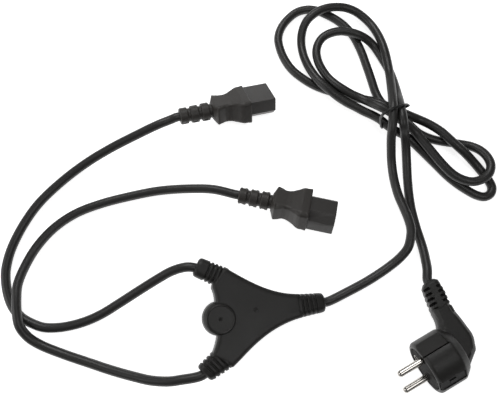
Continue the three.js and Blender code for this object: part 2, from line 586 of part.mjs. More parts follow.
function junctionGroup() {
  const half = JUNCTION.thickness / 2;
  const placedLegs = Object.values(LEGS).map(({ x, y, angle, w }) => {
    const leg = legParts(w);
    const body = leg.body.rotate([0, 0, angle]).translate([x, y, 0]);
    const bore = leg.bore.rotate([0, 0, angle]).translate([x, y, 0]);
    // The cores run from the end of the sheath to the splices.
    return { body, bore, way: wireWay(x, y, angle) };
  });
  const top = half + BOSS.rise;
  const boss = turned([
    [0, -top],
    [BOSS.topRadius - 0.6, -top],
    [BOSS.topRadius, -top + 0.6],
    [BOSS.radius, 0],
    [BOSS.topRadius, top - 0.6],
    [BOSS.topRadius - 0.6, top],
    [BOSS.ring, top],
    [BOSS.ring - 0.3, top - 0.3],
    [BOSS.dimple, top - 0.3],
    [BOSS.dimple, top - BOSS.dimpleDepth],
    [0, top - BOSS.dimpleDepth],
  ]).rotate([0, -90, 0]);
  const splicePlaces = [-1, 0, 1].map((i) => [SPLICE.at, i * SPLICE.pitch]);
  const pocketRadius = SPLICE.radius + CLEARANCE;
  const pockets = splicePlaces.map(([x, y]) =>
    rod(pocketRadius, x - CLEARANCE, x + SPLICE.length + CLEARANCE, 16).translate([0, y, 0]),
  );
  // The cores fan out to the splices in a flat space at each end of the row.
  const fan = SPLICE.pitch + pocketRadius;
  const fans = [SPLICE.at - SPLICE.chamber, SPLICE.at + SPLICE.length + CLEARANCE].map((x) =>
    box([x, -fan, -1.6], [x + SPLICE.chamber, fan, 1.6]),
  );
  const whole = union([
    plate(junctionOutline(), -half, half, JUNCTION.edge, 6),
    boss,
    ...placedLegs.map((l) => l.body),
  ]);
  const body = cut(whole, [...placedLegs.map((l) => l.bore), ...placedLegs.map((l) => l.way), ...pockets, ...fans]);
  const group = new THREE.Group();
  group.add(meshOf("junction_body", body, black));
  ["line", "earth", "neutral"].forEach((name, i) => {
    const [x, y] = splicePlaces[i];
    const groove = SPLICE.radius - 0.5;
    const barrel = turned([
      [0, x],
      [SPLICE.radius, x],
      [SPLICE.radius, x + 5],
      [groove, x + 5.5],
      [groove, x + SPLICE.length - 5.5],
      [SPLICE.radius, x + SPLICE.length - 5],
      [SPLICE.radius, x + SPLICE.length],
      [0, x + SPLICE.length],
    ], 16);
    group.add(meshOf("junction_splice_" + name, barrel.translate([0, y, 0]), brass));
  });
  return group;
}

function wireWay(x, y, angle) {
  const from = new THREE.Vector3(x, y, 0).addScaledVector(
    new THREE.Vector3(Math.cos(deg(angle)), Math.sin(deg(angle)), 0),
    -CORD.seat,
  );
  const side = Math.cos(deg(angle)) > 0 ? SPLICE.at + SPLICE.length : SPLICE.at;
  const to = new THREE.Vector3(side, 0, 0);
  const heading = THREE.MathUtils.radToDeg(Math.atan2(to.y - from.y, to.x - from.x));
  return rod(WIRE_WAY, 0, from.distanceTo(to), 12).rotate([0, 0, heading]).translate([from.x, from.y, 0]);
}

// Turns a moulding as it lies, sets it on the floor and moves it to its place.
function laid(group, { turn, at }) {
  const [yaw, pitch, roll] = turn.map(deg);
  group.rotation.set(roll, pitch, yaw, "ZYX");
  group.position.set(at[0], at[1], 0);
  group.updateMatrixWorld(true);
  group.position.z = -new THREE.Box3().setFromObject(group, true).min.z;
  group.updateMatrixWorld(true);
  return group;
}

function cord(name, points) {
  const curve = new THREE.CatmullRomCurve3(points.map((p) => new THREE.Vector3(...p)), false, "centripetal");
  curve.arcLengthDivisions = 3000;
  const section = new THREE.Shape();
  for (let i = 0; i < CORD.sides; i++) {
    const angle = ((i + 0.5) / CORD.sides) * 2 * Math.PI;
    const x = (CORD.diameter / 2) * Math.cos(angle);
    const y = (CORD.diameter / 2) * Math.sin(angle);
    if (i === 0) section.moveTo(x, y);
    else section.lineTo(x, y);
  }
  const swept = { steps: CORD_STEPS[name], extrudePath: curve, bevelEnabled: false };
  return meshOf(name, solid(new THREE.ExtrudeGeometry(section, swept)), sheath);
}

// A convex outline moved outwards by a distance: each corner goes to where its two shifted sides meet.
function grown(points, by) {
  return points.map(([x, y], i) => {
    const [px, py] = points[(i + points.length - 1) % points.length];
    const [nx, ny] = points[(i + 1) % points.length];
    const before = new THREE.Vector2(y - py, px - x).normalize();
    const after = new THREE.Vector2(ny - y, x - nx).normalize();
    const middle = before.clone().add(after);
    return middle.multiplyScalar((2 * by) / middle.lengthSq()).add(new THREE.Vector2(x, y));
  });
}

function tie() {
  const outline = new THREE.Shape(grown(TIE.loop, 0.4 + TIE.thickness));
  outline.holes.push(new THREE.Path(grown(TIE.loop, 0.4)));
  const strip = new THREE.ExtrudeGeometry(outline, { depth: TIE.width, bevelEnabled: false });
  strip.translate(0, 0, -TIE.width / 2).rotateX(Math.PI / 2).rotateZ(deg(TIE.turn));
  return meshOf("cord_tie", solid(strip.translate(...TIE.at, 0)), tieBlack);
}

const mouldings = new THREE.Group();
mouldings.add(
  laid(plugGroup(), PLACES.plug),
  laid(junctionGroup(), PLACES.junction),
  laid(connectorGroup("connector_a"), PLACES.connector_a),
  laid(connectorGroup("connector_b"), PLACES.connector_b),
);

// The origin is the middle of the mouldings' bounding box, at the floor.
const layout = new THREE.Group();
const middle = new THREE.Box3().setFromObject(mouldings, true).getCenter(new THREE.Vector3());
layout.position.set(-middle.x, -middle.y, 0);
layout.add(mouldings, ...Object.entries(ROUTES).map(([name, points]) => cord(name, points)), tie());

const model = new THREE.Group();
model.add(layout);

export default model;
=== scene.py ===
"""Looks of the power cord splitter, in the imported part's frame.

Each new piece is a surface over a grid of two parameters, worked out as whole arrays.
A turned piece is a profile of place and radius, carried round its axis. A lofted piece carries a
rounded rectangle along X: four corner arcs joined by straight sides, whose half width, half height and
corner radius are functions of the place. A plate runs from each point of a closed outline to a spine
inside it, and its height is a function of the distance to the outline. A cord carries a circle along a
centripetal Catmull-Rom curve through its listed points, with one side of the circle kept level.
Profiles are carried through even steps along their own length and then rounded by a Gaussian, which
gives the soft edges of moulded PVC. Grooves, notches and slots press the points that lie inside a window
down to the groove's floor.
Sizes are in millimetres in each moulding's own frame; placed() turns, moves and scales them to metres.
"""

import bpy
import numpy as np
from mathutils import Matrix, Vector


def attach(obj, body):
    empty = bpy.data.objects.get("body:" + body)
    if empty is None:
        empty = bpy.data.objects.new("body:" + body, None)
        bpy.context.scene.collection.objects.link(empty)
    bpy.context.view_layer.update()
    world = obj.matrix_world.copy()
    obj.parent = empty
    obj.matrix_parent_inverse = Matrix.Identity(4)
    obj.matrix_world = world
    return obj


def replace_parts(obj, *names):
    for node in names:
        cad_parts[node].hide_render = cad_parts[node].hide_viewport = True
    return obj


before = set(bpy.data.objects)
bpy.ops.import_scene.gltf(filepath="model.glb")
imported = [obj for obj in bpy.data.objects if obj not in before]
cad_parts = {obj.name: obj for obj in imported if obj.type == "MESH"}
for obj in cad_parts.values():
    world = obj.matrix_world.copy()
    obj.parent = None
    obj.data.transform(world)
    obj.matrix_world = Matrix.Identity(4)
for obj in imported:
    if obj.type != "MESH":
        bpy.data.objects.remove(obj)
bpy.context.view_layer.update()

# From the layout of the photo to the row's frame
SHIFT = np.array([-49.61184, 24.23557, 0.0])
CORD = 6.9
BORE = 3.72

# Turns about Z, Y and X in degrees, then the place
PLACES = {
    "plug": ((209.4, 1.5, 8.0), (119.2, -125.1, 18.946)),
    "junction": ((8.9, 9.0, 4.0), (-20.9, -90.1, 17.749)),
    "connector_a": ((15.2, 8.0, 148.0), (-2.3, 73.6, 14.425)),
    "connector_b": ((-12.5, -1.0, -24.8), (44.1, -11.3, 13.804)),
}

# Centre lines of the cords, as x, y and z in the layout, in millimetres
ROUTES = {
    "main_cord": [
        (45.5, -79.7, 7.1), (52.3, -78.6, 6), (56.2, -78, 5.4), (71.8, -70.6, 5.6), (88.2, -61.8, 5.2),
        (103.6, -51.7, 6.3), (111.6, -45, 8.6), (116.3, -38.9, 10.4), (118.7, -30.5, 11.2),
        (119.2, -25.3, 11.3), (118, -18, 10.9), (115.6, -9.3, 9.6), (112.3, 2.1, 7.6), (109.9, 15.8, 6.8),
        (108.4, 27.6, 9.6), (107.5, 36.3, 14.5), (106.9, 43.3, 19.5), (106.9, 49.5, 24.4),
        (107.6, 57.5, 26.3), (108.2, 65.7, 26.3), (108.9, 74.4, 23.4), (109.8, 85, 18.6),
        (110.7, 100.2, 12.2), (109.9, 111.4, 10.9), (108.3, 121.6, 10.8), (106, 131.3, 9.8),
        (103.1, 140, 8.2), (99.1, 147.9, 6.9), (93.8, 154, 7), (87.2, 159.1, 7.6), (79.2, 161.8, 8.8),
        (70.8, 161.8, 10.2), (61.9, 159.9, 11.1), (54.5, 156.3, 11.2), (48.1, 151, 10.4),
        (44.4, 145.7, 8.6), (42.3, 138.8, 6.4), (41.9, 131.4, 5), (43, 122.8, 5), (45.5, 113.3, 6.6),
        (49.3, 104, 8.9), (54.7, 95, 10.8), (62.1, 87.4, 11.2), (69.4, 81.6, 10), (76.4, 76.8, 9.6),
        (82.5, 73.5, 9.4), (89.3, 69.6, 9.2), (96.8, 65.6, 9.6), (101.7, 61.9, 10.4), (105.7, 57.9, 10.8),
        (110.2, 54.3, 10.4), (116.5, 52.1, 8), (122.8, 49.6, 5.4), (130.1, 43, 3.9), (137.6, 34.8, 3.7),
        (145, 26.4, 3.7), (151.7, 18.8, 3.7), (158.6, 12.4, 3.7), (166.1, 6.9, 3.7), (173.2, 2.8, 3.7),
        (179.1, 1.5, 3.7), (183.7, 3.8, 3.7), (185.5, 8.5, 3.7), (183.6, 14.5, 3.7), (179.3, 21.1, 3.8),
        (173.3, 28.2, 5.4), (165.6, 35, 9), (160, 39.6, 10.8), (154.9, 44.7, 11.1), (148.2, 52.1, 10.4),
        (140.4, 58.5, 9), (132.4, 62.9, 8.6), (123.5, 65.5, 11.4), (117.3, 67.9, 12.2),
        (111.5, 70.4, 12.5), (106.5, 72.6, 12.6), (101.4, 75.2, 11.8), (96.3, 78.6, 8.6),
        (91.6, 81.4, 5.2), (86.3, 83.1, 3.9), (80, 84.9, 3.7), (73.7, 86.6, 3.7), (64.2, 89.4, 3.7),
        (57.6, 91.8, 3.7), (50.1, 95.4, 3.7), (41.5, 101.4, 3.7), (34, 108.4, 3.7), (28.2, 117.4, 3.8),
        (24.5, 127.3, 4), (23.2, 136.5, 4.2), (25.8, 146, 4.2), (32, 154.9, 4), (39.6, 161.2, 3.8),
        (48, 163.5, 3.7), (55.9, 162.4, 3.7), (64.1, 158.6, 3.7), (72.1, 153.4, 3.8), (79.4, 146.6, 3.8),
        (85.2, 138.5, 3.7), (89.2, 129.4, 3.7), (92, 121.2, 3.7), (94.2, 113.1, 3.7), (96.3, 105.4, 3.7),
        (98.4, 97, 3.7), (100.5, 88.7, 3.7), (103.6, 80.9, 4.5), (107.5, 75.3, 5.4), (112.3, 70.7, 5.5),
        (117.6, 66.7, 5.4), (122.7, 63.2, 4.6), (127.4, 58.8, 3.7), (132.2, 53.8, 3.7),
        (137.4, 50.6, 3.7), (143.5, 48.2, 3.7), (151.2, 46.4, 3.7), (158.9, 45.2, 3.7),
        (166.3, 43.9, 3.9), (172.1, 41.9, 5.3), (177.9, 37.8, 7.6), (182.2, 31.7, 9.4),
        (183.7, 24.7, 10.7), (181.6, 18.2, 11.2), (176.2, 13.4, 11.2), (168.9, 11.4, 11),
        (161.8, 12.8, 10.8), (154.9, 16.7, 10.8), (149, 22.7, 10.8), (143.6, 29.7, 10.8),
        (138.4, 37, 10.8), (133.2, 44.1, 11), (128.1, 50.8, 11.6), (122.2, 55.6, 14.4),
        (116.1, 58.7, 17.4), (110.6, 62.3, 19), (105.6, 65.6, 19.6), (100.7, 68.7, 19.1),
        (96.3, 72.1, 17), (91.8, 76.5, 13), (86.5, 80.1, 11.1), (80, 83.4, 10.9), (74.2, 86.9, 11.4),
        (68.4, 91.4, 11), (62.4, 98, 9.6), (57.6, 105.6, 9.4), (54.5, 113.3, 9.4), (53.5, 120.7, 9.6),
        (54.9, 127.5, 9.9), (58.8, 133.4, 10.4), (65.2, 137.2, 10.9), (73.3, 138.9, 11.1),
        (81.1, 138, 11.1), (88, 136, 10.6), (94.9, 133.6, 7.8), (100.6, 129.7, 5), (104.6, 124.2, 3.8),
        (108, 117.6, 3.7), (111.2, 111.1, 3.7), (113.5, 105, 3.8), (115.1, 98.1, 5), (115.8, 90, 8.2),
        (115.9, 81.5, 12.8), (115.2, 71.9, 19.8), (114.9, 63.7, 24.4), (115.1, 56.9, 25.8),
        (115.8, 51.9, 24.4), (117.9, 47.3, 17.6), (119.5, 40.8, 12.2), (120.6, 29.9, 7.4), (121, 17, 4.8),
        (121.5, 3, 3.8), (122.4, -7.5, 3.7), (123.9, -16.3, 3.7), (125.8, -25.2, 3.7),
        (127.6, -32.9, 4.2), (128.7, -40.5, 6), (128.9, -48, 8.9), (128.7, -55.5, 11.8), (128, -63.9, 13),
        (129.5, -66.4, 13.5), (132.4, -71.6, 14.3),
    ],
    "branch_cord_a": [
        (-45.8, 61.8, 20.8), (-52.5, 60, 21.7), (-56.3, 58.9, 22.3), (-59.4, 57.8, 21.5),
        (-69.4, 53.7, 21), (-88.2, 45.8, 17), (-107.3, 37.5, 12), (-126.8, 27, 7), (-144.9, 13.1, 4.4),
        (-161.2, -4.3, 3.8), (-171.6, -22, 3.7), (-178.2, -39.2, 3.7), (-180.3, -51.3, 3.7),
        (-180.3, -58.5, 3.7), (-177.9, -70.2, 3.7), (-173.3, -80.6, 3.7), (-166.2, -88.6, 3.7),
        (-157.2, -93.5, 3.7), (-149.3, -96.1, 3.7), (-141.2, -96.5, 3.8), (-130.9, -95.3, 4.2),
        (-118.4, -92, 5.5), (-106.6, -87, 7.5), (-93, -79.1, 10.5), (-78.9, -70.6, 14),
        (-64.5, -62.3, 17.8), (-57.2, -58.6, 20.1), (-50, -56.2, 21.9), (-43.4, -55.3, 22.8),
        (-38, -56.1, 22.3), (-33, -58, 21.4),
    ],
    "branch_cord_b": [
        (-0.3, -1.5, 13), (-7.1, 0.1, 12.9), (-11.1, 0.9, 12.8), (-26.9, 4.8, 12.5), (-44.4, 6.3, 9.5),
        (-69.3, 5.8, 5.5), (-90.4, 2.1, 3.9), (-113.4, -4, 3.7), (-132.4, -11.8, 3.7),
        (-147.8, -23.2, 3.8), (-158.9, -37.3, 4.5), (-165.3, -51.9, 6.6), (-168.4, -66.1, 9.6),
        (-167.7, -76.7, 11.3), (-166.5, -85.2, 11.6), (-164.1, -95.3, 10.4), (-158.6, -102.9, 6.8),
        (-150.4, -108.2, 4.6), (-133, -114.9, 3.8), (-114.4, -120.8, 4.5), (-97.7, -125.9, 6.5),
        (-79.8, -130.4, 10), (-68, -132.7, 13), (-55.5, -133.2, 16), (-47.8, -132.2, 17.3),
        (-33.5, -129.4, 17.8), (-28.3, -125.7, 17.4), (-24.1, -122.2, 16.8),
    ],
}

# Camera first, as found from the photo
camera_data = bpy.data.cameras.new("camera")
camera_data.lens = 43.2
camera_data.sensor_width = 36.0
camera = bpy.data.objects.new("camera", camera_data)
bpy.context.scene.collection.objects.link(camera)
camera.location = (-0.04961, -0.09607, 0.44558)
aim = Vector((-0.04961, 0.02424, 0.0)) - camera.location
camera.rotation_euler = aim.to_track_quat("-Z", "Y").to_euler()
bpy.context.scene.camera = camera


# Materials
def shader(name, color, roughness, metallic=0.0, specular=0.5, grain=0.0, mottle=0.0, glow=0.0):
    """A principled surface with a fine noise bump and a broad, faint change of roughness."""
    made = bpy.data.materials.new(name)
    made.use_nodes = True
    nodes, links = made.node_tree.nodes, made.node_tree.links
    base = nodes["Principled BSDF"]
    base.inputs["Base Color"].default_value = (*color, 1.0)
    base.inputs["Roughness"].default_value = roughness
    base.inputs["Metallic"].default_value = metallic
    base.inputs["Specular IOR Level"].default_value = specular
    place = nodes.new("ShaderNodeTexCoord")
    if grain:
        noise = nodes.new("ShaderNodeTexNoise")
        noise.inputs["Scale"].default_value = 3000.0
        noise.inputs["Detail"].default_value = 3.0
        bump = nodes.new("ShaderNodeBump")
        bump.inputs["Strength"].default_value = grain
        bump.inputs["Distance"].default_value = 0.0001
        links.new(place.outputs["Object"], noise.inputs["Vector"])
        links.new(noise.outputs["Fac"], bump.inputs["Height"])
        links.new(bump.outputs["Normal"], base.inputs["Normal"])
    if glow:
        base.inputs["Emission Color"].default_value = (1.0, 1.0, 1.0, 1.0)
        base.inputs["Emission Strength"].default_value = glow
    if mottle:
        broad = nodes.new("ShaderNodeTexNoise")
        broad.inputs["Scale"].default_value = 60.0
        spread = nodes.new("ShaderNodeMapRange")
        spread.inputs["To Min"].default_value = roughness - mottle
        spread.inputs["To Max"].default_value = roughness + mottle
        links.new(place.outputs["Object"], broad.inputs["Vector"])
        links.new(broad.outputs["Fac"], spread.inputs["Value"])
        links.new(spread.outputs["Result"], base.inputs["Roughness"])
    return made


LOOKS = {
    "moulded_black": shader(
        "moulded_black", (0.0155, 0.0148, 0.0138), 0.44,
        specular=0.35, grain=0.3, mottle=0.05,
    ),
    "moulded_charcoal": shader(
        "moulded_charcoal", (0.034, 0.0305, 0.0275), 0.46,
        specular=0.4, grain=0.35, mottle=0.05,
    ),
    "insert_black": shader("insert_black", (0.034, 0.0315, 0.0295), 0.4, grain=0.15),
    "cord_sheath": shader("cord_sheath", (0.0175, 0.017, 0.0163), 0.42, grain=0.12, mottle=0.05),
    "nickel": shader("nickel", (0.5, 0.48, 0.45), 0.2, metallic=1.0),
    "brass": shader("brass", (0.72, 0.56, 0.28), 0.35, metallic=1.0),
    "tie_black": shader("tie_black", (0.008, 0.008, 0.008), 0.4),
}


def finished(obj, slot):
    """Gives a piece the material that its slot names."""
    obj.data.materials.clear()
    obj.data.materials.append(LOOKS[slot])
    return obj


# The plug's face insert gets a darker copy of the insert material with almost no specular: painted shade on
# that face
PAINTED_SHADE_FACE = shader("painted_shade_face", (0.012, 0.0115, 0.011), 0.6, specular=0.05, grain=0.15)
# The earth strips get a near-black copy in place of nickel: painted shade of the recesses they lie in
PAINTED_SHADE_STRIP = shader("painted_shade_strip", (0.012, 0.012, 0.012), 0.5, metallic=0.5, specular=0.2)


# Surfaces
def placed(points, place):
    """Local millimetres to metres in the row's frame: about X, then Y, then Z, then moved."""
    turn, at = PLACES[place]
    (cz, cy, cx), (sz, sy, sx) = np.cos(np.radians(turn)), np.sin(np.radians(turn))
    about_z = np.array([[cz, -sz, 0], [sz, cz, 0], [0, 0, 1]])
    about_y = np.array([[cy, 0, sy], [0, 1, 0], [-sy, 0, cy]])
    about_x = np.array([[1, 0, 0], [0, cx, -sx], [0, sx, cx]])
    return (points @ (about_z @ about_y @ about_x).T + np.array(at) + SHIFT) / 1000


def skin(name, grid, slot, place=None, caps="", wrap_rows=False, sharp=40.0):
    """A mesh over a grid [row, column, xyz] whose columns wrap round. caps names the ends to close."""
    rows, columns = grid.shape[:2]
    index = np.arange(rows * columns).reshape(rows, columns)
    lined = np.vstack([index, index[:1]]) if wrap_rows else index
    round_ = np.hstack([lined, lined[:, :1]])
    corners = (round_[:-1, :-1], round_[:-1, 1:], round_[1:, 1:], round_[1:, :-1])
    faces = np.stack(corners, -1).reshape(-1, 4).tolist()
    if "first" in caps:
        faces.append(index[0, ::-1].tolist())
    if "last" in caps:
        faces.append(index[-1].tolist())
    points = grid.reshape(-1, 3)
    points = placed(points, place) if place else (points + SHIFT) / 1000
    mesh = bpy.data.meshes.new(name)
    mesh.from_pydata(points.tolist(), [], faces)
    mesh.update()
    capped = len(faces) - ("first" in caps) - ("last" in caps)
    mesh.polygons.foreach_set("use_smooth", np.arange(len(faces)) < capped)
    mesh.set_sharp_from_angle(angle=np.radians(sharp))
    obj = bpy.data.objects.new(name, mesh)
    bpy.context.scene.collection.objects.link(obj)
    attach(obj, "root")
    return finished(obj, slot)


def step(value):
    """0 below 0, 1 above 1, and a smooth rise between them."""
    t = np.clip(value, 0, 1)
    return t * t * (3 - 2 * t)


def window(value, low, high, soft=0.15):
    """1 between low and high, 0 outside, with soft edges."""
    return step((value - low) / soft + 0.5) * step((high - value) / soft + 0.5)


def rounded_by(rows, spacing, soft, closed=False):
    """A Gaussian along the rows. Open rows keep their two ends."""
    reach = max(int(3 * soft / spacing), 1)
    kernel = np.exp(-0.5 * (np.arange(-reach, reach + 1) * spacing / soft) ** 2)
    kernel /= kernel.sum()
    if closed:
        padded = np.vstack([rows[-reach:], rows, rows[:reach]])
    else:
        before = 2 * rows[:1] - rows[reach:0:-1]
        after = 2 * rows[-1:] - rows[-2 : -reach - 2 : -1]
        padded = np.vstack([before, rows, after])
    return np.stack([np.convolve(column, kernel, "valid") for column in padded.T], 1)


def flow(points, spacing=0.2, soft=0.25, closed=False):
    """Carries listed rows through even steps along their length in the first two columns."""
    rows = np.array(points, float)
    if closed:
        rows = np.vstack([rows, rows[:1]])
    along = np.r_[0, np.cumsum(np.hypot(*np.diff(rows[:, :2], axis=0).T) + 1e-9)]
    count = max(int(along[-1] / spacing), 12)
    even = np.linspace(0, along[-1], count + 1)[: count if closed else count + 1]
    dense = np.stack([np.interp(even, along, column) for column in rows.T], 1)
    return rounded_by(dense, along[-1] / count, soft, closed)


def rings(width, height, corner, arc=7, side=9):
    """Rounded rectangles as [row, column, yz]: four arcs, joined by straight sides."""
    corner = np.minimum(corner, 0.98 * np.minimum(width, height))
    w, h, r = (value[:, None, None] for value in (width, height, corner))
    angle = np.linspace(0, np.pi / 2, arc) + np.arange(4)[:, None] * np.pi / 2
    sign_y = np.array([1, -1, -1, 1])[:, None]
    sign_z = np.array([1, 1, -1, -1])[:, None]
    arcs = np.stack([sign_y * (w - r) + r * np.cos(angle), sign_z * (h - r) + r * np.sin(angle)], -1)
    t = (np.arange(1, side + 1) / (side + 1))[:, None]
    sides = arcs[:, :, -1:] * (1 - t) + np.roll(arcs, -1, 1)[:, :, :1] * t
    return np.concatenate([arcs, sides], 2).reshape(len(arcs), -1, 2)


def loft(rows, arc=7, side=9):
    """A rounded rectangle carried along X: rows of place, half width, half height, corner and offset."""
    section = rings(rows[:, 1], rows[:, 2], rows[:, 3], arc, side)
    section[..., 0] += rows[:, 4:5]
    place = np.broadcast_to(rows[:, :1], section.shape[:2])
    return np.concatenate([place[..., None], section], -1)


def turned(rows, sides=64):
    """A profile of place and radius, carried round the X axis."""
    angle = np.linspace(0, 2 * np.pi, sides, endpoint=False)
    place = np.broadcast_to(rows[:, :1], (len(rows), sides))
    return np.stack([place, rows[:, 1:2] * np.cos(angle), rows[:, 1:2] * np.sin(angle)], -1)


def normals(outline):
    """Outward normals of a closed outline that is counted anticlockwise."""
    along = np.roll(outline, -1, 0) - np.roll(outline, 1, 0)
    along /= np.linalg.norm(along, axis=1, keepdims=True)
    return np.stack([along[:, 1], -along[:, 0]], 1)


def quarter(edge, levels=8):
    """A quarter round as rows of inset and drop, from the wall to the top."""
    turn = np.linspace(0, np.pi / 2, levels)
    return np.stack([edge * (1 - np.cos(turn)), edge * (1 - np.sin(turn))], 1)


def plate(outline, half, profile, spine):
    """A closed outline given thickness, over lines that run from its edge to a spine inside it.

    The profile says how far the top drops at each distance from the outline.
    """
    after = np.roll(outline, -1, 0) - outline
    share = np.array([0, 0.02, 0.05, 0.1, 0.16, 0.23, 0.31, 0.4, 0.55, 0.75, 1])[:, None, None]
    flat = outline * (1 - share) + spine * share
    away = []
    for row in flat:
        gap = row[:, None] - outline
        foot = np.clip((gap * after).sum(-1) / (after**2).sum(-1), 0, 1)
        away.append(np.linalg.norm(gap - foot[..., None] * after, axis=-1).min(1))
    level = half - np.interp(np.array(away), *profile.T)
    upper = np.concatenate([flat, level[..., None]], -1)
    return np.concatenate([upper[::-1] * [1, 1, -1], upper])


def bezier(*points, count=24):
    """A Bezier curve of any order: corner cutting repeated on whole rows."""
    t = np.linspace(0, 1, count)[:, None]
    rows = [np.array(p, float)[None] for p in points]
    while len(rows) > 1:
        rows = [a * (1 - t) + b * t for a, b in zip(rows, rows[1:])]
    return rows[0]


# Cords
def curve(points, samples=16):
    """A centripetal Catmull-Rom curve through the points, sampled evenly by length."""
    p = np.array(points, float)
    p = np.vstack([2 * p[:1] - p[1:2], p, 2 * p[-1:] - p[-2:-1]])
    p0, p1, p2, p3 = (p[i : len(p) - 3 + i, None] for i in range(4))
    pairs = ((p0, p1), (p1, p2), (p2, p3))
    d0, d1, d2 = (np.linalg.norm(b - a, axis=2, keepdims=True) ** 0.5 for a, b in pairs)
    t = np.linspace(0, 1, samples, endpoint=False)[None, :, None]
    out = ((p1 - p0) / d0 - (p2 - p0) / (d0 + d1) + (p2 - p1) / d1) * d1
    into = ((p2 - p1) / d1 - (p3 - p1) / (d1 + d2) + (p3 - p2) / d2) * d1
    cubic = 2 * p1 - 2 * p2 + out + into
    square = 3 * p2 - 3 * p1 - 2 * out - into
    dense = (((cubic * t + square) * t + out) * t + p1).reshape(-1, 3)
    dense = np.vstack([dense, p[-2]])
    along = np.r_[0, np.cumsum(np.linalg.norm(np.diff(dense, axis=0), axis=1))]
    even = np.linspace(0, along[-1], int(along[-1] / 1.4) + 1)
    return np.stack([np.interp(even, along, c) for c in dense.T], 1), along[-1]


def tube(path, radius, sides=26):
    """A circle carried along a path, with one side of it kept level."""
    heading = np.gradient(path, axis=0)
    heading /= np.linalg.norm(heading, axis=1, keepdims=True)
    level = np.cross(heading, [0, 0, 1.0])
    level /= np.linalg.norm(level, axis=1, keepdims=True)
    up = np.cross(level, heading)
    angle = np.linspace(0, 2 * np.pi, sides, endpoint=False)[None, :, None]
    return path[:, None] + radius * (np.cos(angle) * level[:, None] + np.sin(angle) * up[:, None])


for node, points in ROUTES.items():
    path, length = curve(points if node == "main_cord" else points[::-1])
    sheath = skin(node + "_sheath", tube(path, CORD / 2), "cord_sheath", caps="first last", sharp=60.0)
    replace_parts(sheath, node)

# The strip round the bundle: a rounded rectangle carried round the strands' outline
TIE = [
    (-12.8, 10.7), (-12.4, 9), (-10.3, 7.4), (3.9, 2.2), (5.2, 2), (7, 2.5), (8.4, 4), (9.9, 12), (9.9, 20.5),
    (8.9, 22.1), (7.5, 24.1), (4, 26.9), (-2.3, 29.5), (-5.2, 30.1), (-8, 29.8), (-10.5, 28.6), (-12, 26),
]
TIE_GAP = 0.85
TIE_AT = (112.1, 64.7)
TIE_TURN = np.radians(42.0)
loop = flow(TIE, spacing=0.5, soft=0.9, closed=True)
loop_out = normals(loop)
loop = loop + TIE_GAP * loop_out
strip_x, strip_y = rings(np.array([0.5]), np.array([1.0]), np.array([0.3]), arc=4, side=1)[0].T
along_strip = loop[:, None] + loop_out[:, None] * strip_x[None, :, None]
# The top of the strip lies more across the strands than its foot
across_tie = strip_y[None] + 0.3 * (along_strip[..., 0] - 1.5) * step((along_strip[..., 1] - 8) / 14)
tie_grid = np.stack(
    [
        TIE_AT[0] + np.cos(TIE_TURN) * along_strip[..., 0] + np.sin(TIE_TURN) * across_tie,
        TIE_AT[1] + np.sin(TIE_TURN) * along_strip[..., 0] - np.cos(TIE_TURN) * across_tie,
        along_strip[..., 1],
    ],
    -1,
)
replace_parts(skin("tie_strip", tie_grid, "tie_black", wrap_rows=True), "cord_tie")


# Plug: the pins stand along +X from the face, and the cord leaves towards -Y
drum_rows = flow(
    [(-3, 15.5), (0, 15.5), (0, 17.2), (-1.8, 19), (-21, 19), (-27, 14.5), (-27, 1)],
    spacing=0.3,
    soft=0.8,
)
drum = turned(drum_rows, sides=360)
# Direction from the axis in degrees, the two sides, the floor and the far end
RECESSES = (
    (124, -4.5, 9, 17.6, -20),
    (-56, -4.5, 9, 17.6, -20),
    (110.3, -0.6, 0.5, 16.6, -20.6),
    (-69.7, -0.6, 0.5, 16.6, -20.6),
    (34, -3.8, 3.8, 17, -20.3),
    (-146, -3.8, 3.8, 17, -20.3),
)
for angle, near, far, floor, end in RECESSES:
    c, s = np.cos(np.radians(angle)), np.sin(np.radians(angle))
    out = drum[..., 1] * c + drum[..., 2] * s
    side = drum[..., 2] * c - drum[..., 1] * s
    inside = window(side, near, far, 0.3) * step((drum[..., 0] - end) / 0.4) * (out > 0)
    pressed = out + (np.minimum(out, floor) - out) * inside
    drum = np.stack([drum[..., 0], pressed * c - side * s, pressed * s + side * c], -1)
plug_drum = skin("plug_drum", drum, "moulded_black", "plug")
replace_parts(plug_drum, "plug_body")

ARM = [
    (-15, -16.5), (-21.5, -17.2), (-23.8, -19.2), (-25.2, -22.5), (-26.4, -29), (-26.6, -31.5),
    (-40.2, -31.5),
    (-40.2, -27), (-40.5, -21.5), (-41, -16.5), (-41.4, -4.2), (-40.6, -0.6), (-37, 6.6), (-32.6, 9.5),
    (-24.5, 15), (-15, 16.5),
]
ARM_CENTRE = np.array([-33.3, -10])
ARM_EDGE = flow([(0, 6.5), (0.2, 4.6), (1, 2.9), (3.3, 0.15), (3.5, 0)], spacing=0.35, soft=0.3)
arm_outline = flow(ARM[::-1], spacing=0.4, soft=0.7, closed=True)
arm_spine = ARM_CENTRE + (arm_outline - ARM_CENTRE) * [0.35, 0.6]
ARM_HALF = 8.5
plug_arm = plate(arm_outline, ARM_HALF, ARM_EDGE, arm_spine)
skin("plug_arm", plug_arm, "moulded_black", "plug", caps="first last")

sleeve_rows = flow(
    [
        (-44.5, BORE, BORE, 3.6, 37.4),
        (-48.6, BORE, BORE, 3.6, 37.4),
        (-48.6, 4.8, 4.7, 4.2, 37.3),
        (-46.4, 6.6, 5.9, 4.0, 37.0),
        (-38, 7.3, 6.4, 3.4, 35.6),
        (-29, 7.1, 7.2, 3.0, 33.6),
        (-22, 6.9, 7.9, 3.0, 33.0),
    ],
    spacing=0.12,
    soft=0.3,
)
sleeve = loft(sleeve_rows, side=13)
